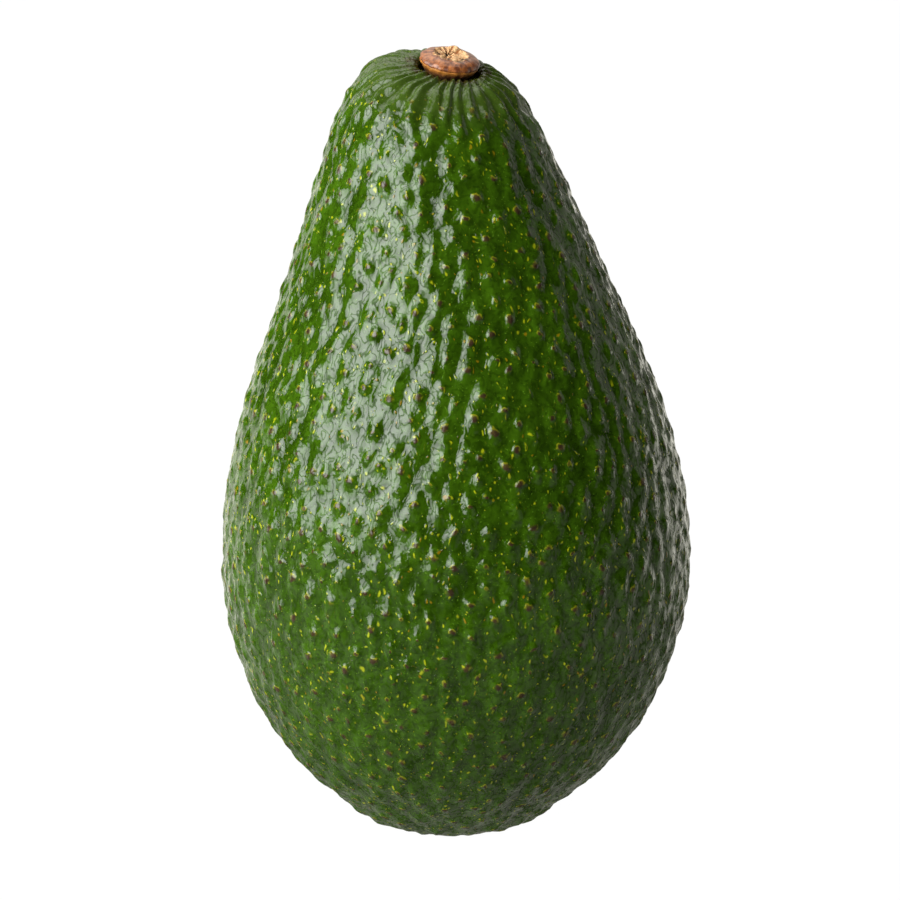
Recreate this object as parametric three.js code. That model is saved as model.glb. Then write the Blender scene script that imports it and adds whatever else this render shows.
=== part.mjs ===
// A whole avocado with its woody stem button, standing on its blossom end.
//
// Frame: millimetres, +Z up along the fruit, origin at the middle of the small flat spot that it stands on.
// The fruit is one solid. Its bare body is a stack of rings that lean and tilt towards the crown, where they
// turn inwards and down as the hollow of the stem. Pleats round the hollow and pebbles everywhere else are
// raised from that body by rule. The button is a second solid, seated in the hollow with a hairline gap.

import * as THREE from "three";
import { ConvexHull } from "three/addons/math/ConvexHull.js";
import { mergeVertices } from "three/addons/utils/BufferGeometryUtils.js";

// ---- Driving dimensions, in millimetres and degrees unless a name says otherwise ----

const DEPTH_SHARE = 0.97; // the fruit is a little flatter front to back than side to side
const FOOT_RADIUS = 6.5;

// Rings of the body, foot to shoulder: radius, height, lean in X, lean in Y, share of the crown's tilt.
const BODY_RINGS = [
  [FOOT_RADIUS, 0, 0, 0, 0],
  [10.4, 1.3, 0, 0, 0],
  [15.0, 3.9, 0, 0, 0],
  [25.3, 14.4, 0.3, 0, 0],
  [31.9, 30.0, 0.4, 0, 0],
  [32.5, 46.0, 0.4, 0, 0],
  [29.0, 62.0, 0.2, 0, 0],
  [22.9, 77.8, -0.3, 0, 0.05],
  [17.2, 92.6, -1.3, 0, 0.2],
  [13.3, 102.2, -1.9, -0.1, 0.5],
  [9.2, 107.4, -1.6, -0.3, 0.9],
];

// The crown is the rim of the stem hollow. Its plane falls to the right, which is +X, and to the front, -Y.
const CROWN_CENTRE = new THREE.Vector3(-0.5, -0.6, 108.3);
const CROWN_TILT_RIGHT = 9;
const CROWN_TILT_FORWARD = 12;

// Rings of the hollow, rim to floor: radius, height over the crown's plane.
const HOLLOW_RINGS = [
  [5.1, 0],
  [4.4, -0.75],
  [3.7, -1.55],
  [2.7, -2.2],
  [0.9, -2.45],
];

// Rings of points on the smooth floor: how many hollow rings short of the last one, points.
const FLOOR_RINGS = [
  [0, 12],
  [0.75, 30],
];

// Slow swellings of the body: waves round it, waves along it by place, share of the radius, phase in radians.
const SWELLINGS = [
  [2, 0.5, 0.004, 0.8],
  [3, 1.0, 0.004, 2.1],
  [5, 1.5, 0.002, 4.4],
];

// Pleats: rows of crests and creases across the crown, by their way along the skin outwards from the rim.
const PLEAT_COUNT = 30;
const PLEAT_ROWS = [-2.6, -1.8, -1.1, -0.4, 0.4, 1.4, 2.6, 4.0, 5.8, 8.0, 10.6];
const PLEAT_STEEPNESS = 0.2; // height of a crest over the mean skin, as a share of the pleat's width
const PLEAT_HEIGHT = 0.34; // the most that a crest usually rises
const PLEAT_UNEVENNESS = 0.3; // how far crests differ in height, as a share of it
const PLEAT_WOBBLE = 0.24; // share of a pleat's width

// Pebbles: centres on a spiral that gives each the same area, then nudged.
const PEBBLE_COUNT = 1640;
const PEBBLE_HEIGHTS = [0.24, 0.5]; // lowest and highest crown over the mean skin
const PEBBLE_CREASE = 0.28; // depth of the creases under the mean skin
const PEBBLE_NUDGE = 0.3; // share of the pebbles' spacing
const PEBBLE_MARGIN = 1.8; // bare skin between the pebbles' centres and the foot or the last row of pleats
const PEBBLE_STRETCH = 1.5; // pebbles are longer along the fruit than across it
const FOOT_FADE = 9; // the pebbles rise from nothing over this way along the skin from the foot
const CREASE_REACH = 2.2; // usual way from a pebble's top to the lowest points of the creases round it
const CREASE_GAP = 0.7; // those lowest points lie no closer together than this

const FOOT_EDGE_POINTS = 30;
const FOOT_INNER_RADIUS = 3.2; // three points inside the flat spot
const LOWEST_SKIN = 0.03; // nothing but the flat spot comes lower than this

// The button: radius and height over its own seam, from the middle of its underside to the edge of its scar.
const BUTTON_SEGMENTS = 48;
const BUTTON_SEAT = 1.1; // height of the seam over the crown's plane
const BUTTON_OUTLINE = [
  [0, -3.2],
  [1.5, -3.15],
  [2.4, -2.85],
  [3.0, -2.1],
  [3.5, -1.25],
  [3.98, -0.5],
  [4.2, -0.12],
  [4.08, 0],
  [4.3, 0.16],
  [4.24, 0.42],
  [3.95, 0.7],
  [3.4, 0.94],
  [2.85, 1.08],
  [2.4, 1.12],
  [2.05, 0.98],
  [1.6, 0.9],
  [1.15, 0.7],
  [0.62, 0.1],
  [0, -0.1],
];
const EDGE_LOBES = { count: 19, depth: 0.05, inner: 3.6, outer: 4.6 }; // faint scallops of the button's edge
const SCAR_FOLDS = { count: 11, depth: 0.13, inner: 0.5, outer: 2.4 };
const SCAR_RADIUS = 2.7;
const SCAR_LOWEST = -0.2;
// Small holes and one raised nub in the scar: X and Y from the button's middle, height, width.
const SCAR_MARKS = [
  [-0.5, -1.2, -0.5, 0.36],
  [1.1, -1.75, -0.45, 0.34],
  [1.9, -0.5, -0.3, 0.3],
  [-1.6, 0.5, -0.3, 0.36],
  [0.55, 2.35, 0.42, 0.6],
];

// ---- Helpers ----

const GOLDEN_ANGLE = Math.PI * (3 - Math.sqrt(5));
const TURN = 2 * Math.PI;

// A repeatable number from -1 to 1 for one item and one purpose.
function draw(item, purpose) {
  const wave = Math.sin(item * 127.1 + purpose * 311.7) * 43758.5453;
  return 2 * (wave - Math.floor(wave)) - 1;
}

// The turn that lays a level ring at the given share of the crown's tilt.
function crownTurn(share) {
  return new THREE.Matrix4().makeRotationFromEuler(
    new THREE.Euler(
      THREE.MathUtils.degToRad(CROWN_TILT_FORWARD) * share,
      THREE.MathUtils.degToRad(CROWN_TILT_RIGHT) * share,
      0,
    ),
  );
}

// ---- The bare body: a ring for every place along the fruit, from 0 at the foot to the hollow's floor ----

function ringsOfBody() {
  const rings = BODY_RINGS.map(([radius, height, leanX, leanY, tilt]) => {
    return { radius, tilt, centre: new THREE.Vector3(leanX, leanY, height) };
  });
  for (const [radius, height] of HOLLOW_RINGS) {
    const centre = new THREE.Vector3(0, 0, height).applyMatrix4(crownTurn(1)).add(CROWN_CENTRE);
    rings.push({ radius, tilt: 1, centre });
  }
  return rings;
}

const RINGS = ringsOfBody();
const LAST_PLACE = RINGS.length - 1;
const RIM_PLACE = BODY_RINGS.length;

function smoothCurve(points) {
  return new THREE.CatmullRomCurve3(points, false, "catmullrom", 0.5);
}

const ringShapes = smoothCurve(RINGS.map((ring) => new THREE.Vector3(ring.radius, ring.tilt, 0)));
const ringCentres = smoothCurve(RINGS.map((ring) => ring.centre));

function ringAt(place) {
  const t = THREE.MathUtils.clamp(place / LAST_PLACE, 0, 1);
  const shape = ringShapes.getPoint(t);
  return { radius: shape.x, tilt: shape.y, centre: ringCentres.getPoint(t) };
}

// How much the slow swellings widen the body here. They fade out at the foot and at the crown.
function swelling(place, angle) {
  const fade = Math.sin(Math.PI * Math.min(place / RIM_PLACE, 1));
  let share = 1;
  for (const [around, along, height, phase] of SWELLINGS) {
    share += fade * height * Math.cos(around * angle + along * place + phase);
  }
  return share;
}

function bodyPoint(place, angle) {
  const ring = ringAt(place);
  const radius = ring.radius * swelling(place, angle);
  return new THREE.Vector3(radius * Math.cos(angle), radius * Math.sin(angle) * DEPTH_SHARE, 0)
    .applyMatrix4(crownTurn(ring.tilt))
    .add(ring.centre);
}

function bodyNormal(place, angle) {
  const step = 1e-3;
  const along = bodyPoint(place + step, angle).sub(bodyPoint(place - step, angle));
  const around = bodyPoint(place, angle + step).sub(bodyPoint(place, angle - step));
  return around.cross(along).normalize();
}

// Totals from the foot up: way along the skin, skin area, and way counted in radii, which a round map needs.
function measureBody(steps) {
  const rows = [{ place: 0, way: 0, area: 0, radii: 0 }];
  let before = ringAt(0);
  for (let i = 1; i <= steps; i++) {
    const place = (LAST_PLACE * i) / steps;
    const ring = ringAt(place);
    const way = Math.hypot(ring.radius - before.radius, ring.centre.distanceTo(before.centre));
    const radius = (ring.radius + before.radius) / 2;
    const last = rows[i - 1];
    rows.push({
      place,
      way: last.way + way,
      area: last.area + TURN * radius * way,
      radii: last.radii + way / radius,
    });
    before = ring;
  }
  return rows;
}

const MEASURES = measureBody(1600);
const TOTALS = MEASURES[MEASURES.length - 1];

// The value of one total where another one has the given value.
function convert(value, from, to) {
  let low = 0;
  let high = MEASURES.length - 1;
  while (high - low > 1) {
    const middle = (low + high) >> 1;
    if (MEASURES[middle][from] <= value) low = middle;
    else high = middle;
  }
  const [a, b] = [MEASURES[low], MEASURES[high]];
  return THREE.MathUtils.mapLinear(value, a[from], b[from], a[to], b[to]);
}

// ---- The round map: a unit sphere whose poles are the foot and the hollow's floor ----
// Small shapes keep their form on it but for the pebbles' stretch, so a convex hull of mapped points joins
// each skin point to its true neighbours.

function onMap(radii, angle) {
  const polar = 2 * Math.atan(Math.exp((radii - TOTALS.radii / 2) / PEBBLE_STRETCH));
  const across = Math.sin(polar);
  return new THREE.Vector3(across * Math.cos(angle), across * Math.sin(angle), -Math.cos(polar));
}

function offMap(direction) {
  const polar = Math.acos(THREE.MathUtils.clamp(-direction.z, -1, 1));
  const radii = PEBBLE_STRETCH * Math.log(Math.tan(polar / 2)) + TOTALS.radii / 2;
  return { place: convert(radii, "radii", "place"), angle: Math.atan2(direction.y, direction.x) };
}

// Triangles of the hull of mapped points, as triples of indices, facing out.
function joinNeighbours(points) {
  const indexOf = new Map(points.map((point, i) => [point.mapped, i]));
  const hull = new ConvexHull().setFromPoints(points.map((point) => point.mapped));
  return hull.faces.map((face) => {
    const corners = [0, 1, 2].map((i) => indexOf.get(face.getEdge(i).head().point));
    return { corners, middle: face.normal };
  });
}

// ---- Skin points ----

function skinPoint(place, angle, rise) {
  const spot = bodyPoint(place, angle).addScaledVector(bodyNormal(place, angle), rise);
  spot.z = Math.max(spot.z, LOWEST_SKIN);
  return { spot, mapped: onMap(convert(place, "place", "radii"), angle) };
}

// The flat spot: its edge, and three points inside it.
function footPoints() {
  const points = [];
  const addRing = (radius, count) => {
    for (let i = 0; i < count; i++) {
      const angle = (TURN * i) / count;
      const spot = new THREE.Vector3(radius * Math.cos(angle), radius * Math.sin(angle) * DEPTH_SHARE, 0);
      points.push({ spot, mapped: onMap(Math.log(radius / FOOT_RADIUS), angle) });
    }
  };
  addRing(FOOT_INNER_RADIUS, 3);
  addRing(FOOT_RADIUS, FOOT_EDGE_POINTS);
  return points;
}

function pleatPoints() {
  const rimWay = convert(RIM_PLACE, "place", "way");
  const share = TURN / PLEAT_COUNT;
  const crestAngle = (i) => (i + (PLEAT_WOBBLE / 2) * draw(i % PLEAT_COUNT, 1)) * share;
  const points = [];
  for (const way of PLEAT_ROWS) {
    const place = convert(rimWay - way, "way", "place");
    const height = Math.min(PLEAT_STEEPNESS * share * ringAt(place).radius, PLEAT_HEIGHT);
    for (let i = 0; i < PLEAT_COUNT; i++) {
      const rise = height * (1 + PLEAT_UNEVENNESS * draw(i, 2));
      const crease = (crestAngle(i) + crestAngle(i + 1)) / 2;
      points.push(skinPoint(place, crestAngle(i), rise));
      points.push(skinPoint(place, crease, -rise));
    }
  }
  return points;
}

// The smooth bottom of the hollow, inside the last row of pleats.
function floorPoints() {
  const points = [{ spot: ringAt(LAST_PLACE).centre, mapped: new THREE.Vector3(0, 0, 1) }];
  for (const [place, count] of FLOOR_RINGS) {
    for (let i = 0; i < count; i++) points.push(skinPoint(LAST_PLACE - place, (TURN * i) / count, 0));
  }
  return points;
}

function pebblePoints() {
  const spacing = Math.sqrt(TOTALS.area / PEBBLE_COUNT);
  const rimWay = convert(RIM_PLACE, "place", "way");
  const lastWay = rimWay - PLEAT_ROWS[PLEAT_ROWS.length - 1] - PEBBLE_MARGIN;
  const points = [];
  for (let i = 0; i < PEBBLE_COUNT; i++) {
    const evenWay = convert((TOTALS.area * (i + 0.5)) / PEBBLE_COUNT, "area", "way");
    const way = evenWay + PEBBLE_NUDGE * spacing * draw(i, 3);
    if (way < PEBBLE_MARGIN || way > lastWay) continue;
    const place = convert(way, "way", "place");
    const angle = i * GOLDEN_ANGLE + (PEBBLE_NUDGE * spacing * draw(i, 4)) / ringAt(place).radius;
    const vigour = THREE.MathUtils.smoothstep(way, 0, FOOT_FADE);
    const rise = vigour * THREE.MathUtils.mapLinear(draw(i, 5), -1, 1, ...PEBBLE_HEIGHTS);
    points.push({ ...skinPoint(place, angle, rise), crease: vigour * PEBBLE_CREASE });
  }
  return points;
}

// Creases are lowest in the middle of every three neighbouring pebbles, and shallower where those crowd.
function creasePoints(pebbles) {
  const creases = [];
  for (const { corners, middle } of joinNeighbours(pebbles)) {
    const trio = corners.map((i) => pebbles[i]);
    if (trio.some((pebble) => pebble.crease === undefined)) continue;
    const { place, angle } = offMap(middle);
    const reach = Math.min(...trio.map((pebble) => pebble.spot.distanceTo(bodyPoint(place, angle))));
    const depth = Math.min(...trio.map((pebble) => pebble.crease)) * Math.min(reach / CREASE_REACH, 1);
    const crease = skinPoint(place, angle, -depth);
    if (creases.every((other) => other.spot.distanceTo(crease.spot) > CREASE_GAP)) creases.push(crease);
  }
  return creases;
}

function fruitGeometry() {
  const plain = [...footPoints(), ...pleatPoints(), ...floorPoints()];
  const pebbles = [...plain, ...pebblePoints()];
  const points = [...pebbles, ...creasePoints(pebbles)];
  const geometry = new THREE.BufferGeometry().setFromPoints(points.map((point) => point.spot));
  return geometry.setIndex(joinNeighbours(points).flatMap(({ corners }) => corners));
}

// ---- The button ----

// 1 inside a band of radii and 0 well outside it, with soft edges a quarter of the band wide.
function band(radius, { inner, outer }) {
  const soft = (outer - inner) / 4;
  return (
    THREE.MathUtils.smoothstep(radius, inner - soft, inner + soft) *
    (1 - THREE.MathUtils.smoothstep(radius, outer - soft, outer + soft))
  );
}

function buttonGeometry() {
  const outline = BUTTON_OUTLINE.map(([radius, height]) => new THREE.Vector2(radius, height));
  const turned = new THREE.LatheGeometry(outline, BUTTON_SEGMENTS);
  turned.deleteAttribute("normal");
  turned.deleteAttribute("uv");
  turned.rotateX(Math.PI / 2);
  const geometry = mergeVertices(turned, 1e-3);
  const spots = geometry.getAttribute("position");
  const spot = new THREE.Vector3();
  for (let i = 0; i < spots.count; i++) {
    spot.fromBufferAttribute(spots, i);
    const radius = Math.hypot(spot.x, spot.y);
    const angle = Math.atan2(spot.y, spot.x);
    const lobe = EDGE_LOBES.depth * band(radius, EDGE_LOBES) * Math.cos(EDGE_LOBES.count * angle);
    const widen = radius > 0 ? 1 + lobe / radius : 1;
    if (spot.z > SCAR_LOWEST && radius < SCAR_RADIUS) {
      spot.z += SCAR_FOLDS.depth * band(radius, SCAR_FOLDS) * Math.cos(SCAR_FOLDS.count * angle + radius);
      for (const [x, y, height, width] of SCAR_MARKS) {
        spot.z += height * Math.exp(-((spot.x - x) ** 2 + (spot.y - y) ** 2) / (2 * width ** 2));
      }
    }
    spots.setXYZ(i, spot.x * widen, spot.y * widen, spot.z);
  }
  return geometry;
}

// ---- Assembly ----

function makePiece(name, geometry, finish) {
  geometry.computeVertexNormals();
  const piece = new THREE.Mesh(geometry, new THREE.MeshStandardMaterial(finish));
  piece.name = name;
  return piece;
}

const fruit = makePiece("fruit", fruitGeometry(), { color: 0x39601f, roughness: 0.36, metalness: 0 });
const button = makePiece("stem_button", buttonGeometry(), { color: 0x935d38, roughness: 0.5, metalness: 0 });
button.position.z = BUTTON_SEAT;

const crown = new THREE.Group();
crown.position.copy(CROWN_CENTRE);
crown.rotation.setFromRotationMatrix(crownTurn(1));
crown.add(button);

const avocado = new THREE.Group();
avocado.add(fruit, crown);

export default avocado;
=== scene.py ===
"""A whole avocado with its stem button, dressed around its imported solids.

Sizes are in millimetres and angles in degrees, unless a name says otherwise. Meshes are made in metres.
"""

import logging
import math
from collections.abc import Callable
from dataclasses import dataclass
from enum import Enum, IntEnum
from typing import NamedTuple

import bpy
import numpy as np
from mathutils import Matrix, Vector, kdtree, noise
from mathutils.geometry import delaunay_2d_cdt


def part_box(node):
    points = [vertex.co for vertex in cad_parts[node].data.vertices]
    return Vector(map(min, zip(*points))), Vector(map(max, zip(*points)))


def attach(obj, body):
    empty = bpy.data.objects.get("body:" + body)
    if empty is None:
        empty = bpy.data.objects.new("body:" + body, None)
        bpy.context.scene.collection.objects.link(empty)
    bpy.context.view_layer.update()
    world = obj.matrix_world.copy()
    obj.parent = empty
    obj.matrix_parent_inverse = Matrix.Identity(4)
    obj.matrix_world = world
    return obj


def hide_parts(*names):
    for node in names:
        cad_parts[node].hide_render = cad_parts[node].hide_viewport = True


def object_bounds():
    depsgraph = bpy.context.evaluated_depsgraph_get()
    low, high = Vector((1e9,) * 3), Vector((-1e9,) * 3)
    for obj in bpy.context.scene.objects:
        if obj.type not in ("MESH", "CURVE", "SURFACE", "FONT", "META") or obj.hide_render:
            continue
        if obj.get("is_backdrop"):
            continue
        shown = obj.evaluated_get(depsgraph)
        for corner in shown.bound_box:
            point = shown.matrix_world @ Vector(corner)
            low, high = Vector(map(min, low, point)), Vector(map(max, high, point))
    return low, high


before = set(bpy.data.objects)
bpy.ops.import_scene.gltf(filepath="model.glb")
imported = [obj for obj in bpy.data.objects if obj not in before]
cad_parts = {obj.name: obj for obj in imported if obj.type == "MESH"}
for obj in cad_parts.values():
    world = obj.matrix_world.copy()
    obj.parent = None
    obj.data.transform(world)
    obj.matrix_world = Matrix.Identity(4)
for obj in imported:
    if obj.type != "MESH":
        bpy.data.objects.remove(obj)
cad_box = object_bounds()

log = logging.getLogger("avocado")

MM = 0.001
TURN = 2 * math.pi
GOLDEN_ANGLE = math.pi * (3 - math.sqrt(5))
BODY = "root"

# Draws come out of a fast wave: what an item and a purpose add to its phase, and how far it is spread.
DRAW_STEP, DRAW_SHIFT, DRAW_SPREAD = 127.1, 311.7, 43758.5453
# Noise as it comes stays within about two thirds of 0.
NOISE_GAIN = 1.5
# Points of the flat map that lie closer than this count as one.
SAME_SPOT = 1e-9

Array = np.ndarray
Faces = list[tuple[int, ...]]
Socket = bpy.types.NodeSocket
Adder = Callable[..., Socket]

# Sockets of a Mix node: factor and numbers, factor and colours, and its colour output.
FACTOR, NUMBER_A, NUMBER_B, COLOUR_A, COLOUR_B, COLOUR_OUT = 0, 2, 3, 6, 7, 2
# Settings of a Map Range node that eases in and out, and of a Mix node for colours.
EASED = {"interpolation_type": "SMOOTHSTEP"}
COLOURS = {"data_type": "RGBA", "output": COLOUR_OUT}
# What a noise of a finish gives on average, alone and as a colour.
MIDDLE = 0.5
MIDDLES = (MIDDLE, MIDDLE, MIDDLE)


class Ramp(NamedTuple):
    """A smooth step: where it begins and ends, what it gives before and after. It may run downwards."""

    low: float
    high: float
    before: float = 0.0
    after: float = 1.0


class Grain(NamedTuple):
    """Noise in a mesh: size of its features, the same all ways or for each axis, and its own seed."""

    size: float | tuple[float, float, float]
    seed: float


class Cloud(NamedTuple):
    """Noise in a finish: size of its features, and how many finer layers it carries."""

    size: float
    detail: float = 0.0

    @property
    def settings(self) -> dict[str, float]:
        """Inputs of the noise node."""
        return {"Scale": 1 / self.size, "Detail": self.detail}


class Streaks(NamedTuple):
    """Noise in a finish, stretched along the fruit: its sizes across and along, and its finer layers."""

    across: float
    along: float
    detail: float = 0.0

    @property
    def squeeze(self) -> tuple[float, float, float]:
        """What the place is multiplied by, so that the noise has features of size one."""
        return 1 / self.across, 1 / self.across, 1 / self.along

    @property
    def settings(self) -> dict[str, float]:
        """Inputs of the noise node, after the place is squeezed."""
        return {"Scale": 1.0, "Detail": self.detail}


class Purpose(IntEnum):
    """What a random draw is for. The solids use the first five of these numbers in the same way."""

    CREST_WOBBLE = 1
    PLEAT_VIGOUR = 2
    NUDGE_ALONG = 3
    NUDGE_ROUND = 4
    PEBBLE_HEIGHT = 5
    PEBBLE_WIDTH = 6
    TIP_RADIUS = 7


# ---- Small tools ----


def linear(code: str, alpha: float = 1.0) -> tuple[float, float, float, float]:
    """Turns an sRGB hex colour into linear light.

    Args:
        code: Colour as "#rrggbb".
        alpha: Opacity to carry along.

    Returns:
        Red, green, blue and alpha, linear.
    """
    channels = (int(code[i : i + 2], 16) / 255 for i in (1, 3, 5))
    red, green, blue = (c / 12.92 if c <= 0.04045 else ((c + 0.055) / 1.055) ** 2.4 for c in channels)
    return red, green, blue, alpha


def draw(item: Array, purpose: Purpose) -> Array:
    """Gives repeatable numbers from -1 to 1, by the rule that the solids are made with.

    Args:
        item: Whole numbers of the items.
        purpose: What the numbers are for.

    Returns:
        One number for each item.
    """
    wave = np.sin(np.asarray(item, float) * DRAW_STEP + purpose * DRAW_SHIFT) * DRAW_SPREAD
    return 2 * (wave - np.floor(wave)) - 1


def smooth(
    value: Array,
    low: float | Array,
    high: float | Array,
    before: float = 0,
    after: float = 1,
) -> Array:
    """Maps values through a smooth step.

    Args:
        value: Values to map.
        low: Where the step begins.
        high: Where the step ends; it may be smaller than low.
        before: Result where the step begins.
        after: Result where the step ends.

    Returns:
        One result for each value.
    """
    share = np.clip((np.asarray(value, float) - low) / (high - low), 0, 1)
    return before + (after - before) * share * share * (3 - 2 * share)


def rough(spots: Array, size: tuple[float, ...] | float, seed: float) -> Array:
    """Gives smooth noise, roughly from -1 to 1.

    Args:
        spots: Points, one a row.
        size: Size of the noise's features, one number or one for each axis.
        seed: Shift that makes this noise differ from others.

    Returns:
        One value for each point.
    """
    scaled = spots / np.asarray(size, float) + seed
    return NOISE_GAIN * np.fromiter((noise.noise(spot) for spot in scaled.tolist()), float, len(scaled))


def curve_through(knots: Array, place: Array) -> Array:
    """Follows a smooth curve through knots.

    Args:
        knots: Knots, one a row.
        place: Where to read the curve: 0 at the first knot, 1 at the second, and so on.

    Returns:
        One row for each place.
    """
    padded = np.vstack([2 * knots[0] - knots[1], knots, 2 * knots[-1] - knots[-2]])
    last = len(knots) - 1
    place = np.clip(np.asarray(place, float), 0, last)
    at = np.minimum(place.astype(int), last - 1)
    share = (place - at)[..., None]
    before, start, end, after = (padded[at + i] for i in range(4))
    leave, arrive = (end - before) / 2, (after - start) / 2
    cubic = 2 * start - 2 * end + leave + arrive
    square = -3 * start + 3 * end - 2 * leave - arrive
    return ((cubic * share + square) * share + leave) * share + start


def running_total(parts: Array) -> Array:
    """Adds up parts one after another, starting from nothing."""
    return np.concatenate([[0], np.cumsum(parts)])


def inside(spots: Array, node: str) -> Array:
    """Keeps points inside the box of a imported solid.

    Args:
        spots: Points in millimetres, one a row.
        node: Name of the solid.

    Returns:
        The points, moved where they stood out.
    """
    low, high = (np.array(corner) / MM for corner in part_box(node))
    return np.clip(spots, low, high)


def make_object(name: str, spots: Array, faces: Faces, values: dict[str, Array]) -> bpy.types.Object:
    """Makes a smooth mesh object.

    Args:
        name: Name of the object and its mesh.
        spots: Points in millimetres, one a row.
        faces: Corners of each face.
        values: Attributes of the points by name, either one number or three for each point.

    Returns:
        The object, linked to the scene.
    """
    mesh = bpy.data.meshes.new(name)
    mesh.from_pydata((spots * MM).tolist(), [], faces)
    mesh.shade_smooth()
    for key, numbers in values.items():
        kind, field = ("FLOAT_VECTOR", "vector") if numbers.ndim > 1 else ("FLOAT", "value")
        attribute = mesh.attributes.new(key, kind, "POINT")
        attribute.data.foreach_set(field, numbers.astype(np.float32).ravel())
    made = bpy.data.objects.new(name, mesh)
    bpy.context.scene.collection.objects.link(made)
    return made


class Shader:
    """A material and the node tree that draws it."""

    def __init__(self, name: str) -> None:
        """Makes the material with an empty tree.

        Args:
            name: Name of the material.
        """
        self.material: bpy.types.Material = bpy.data.materials.new(name)
        self.material.use_nodes = True
        self.tree: bpy.types.NodeTree = self.material.node_tree
        self.tree.nodes.clear()

    def add(
        self,
        kind: str,
        *values: object,
        inputs: dict[str | int, object] | None = None,
        output: str | int = 0,
        **settings: object,
    ) -> Socket | None:
        """Adds a node with its settings and links.

        Args:
            kind: Blender's name for the node's kind, without "ShaderNode".
            *values: Value or source socket for each input, from the first on.
            inputs: Value or source socket for each named or numbered input.
            output: Which output to hand back.
            **settings: Properties of the node.

        Returns:
            The chosen output socket, or None for a node without outputs.
        """
        node = self.tree.nodes.new("ShaderNode" + kind)
        for name, value in settings.items():
            setattr(node, name, value)
        for name, value in (dict(enumerate(values)) | (inputs or {})).items():
            if isinstance(value, Socket):
                self.tree.links.new(value, node.inputs[name])
            else:
                node.inputs[name].default_value = value
        return node.outputs[output] if node.outputs else None


# ---- The bare body ----


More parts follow.
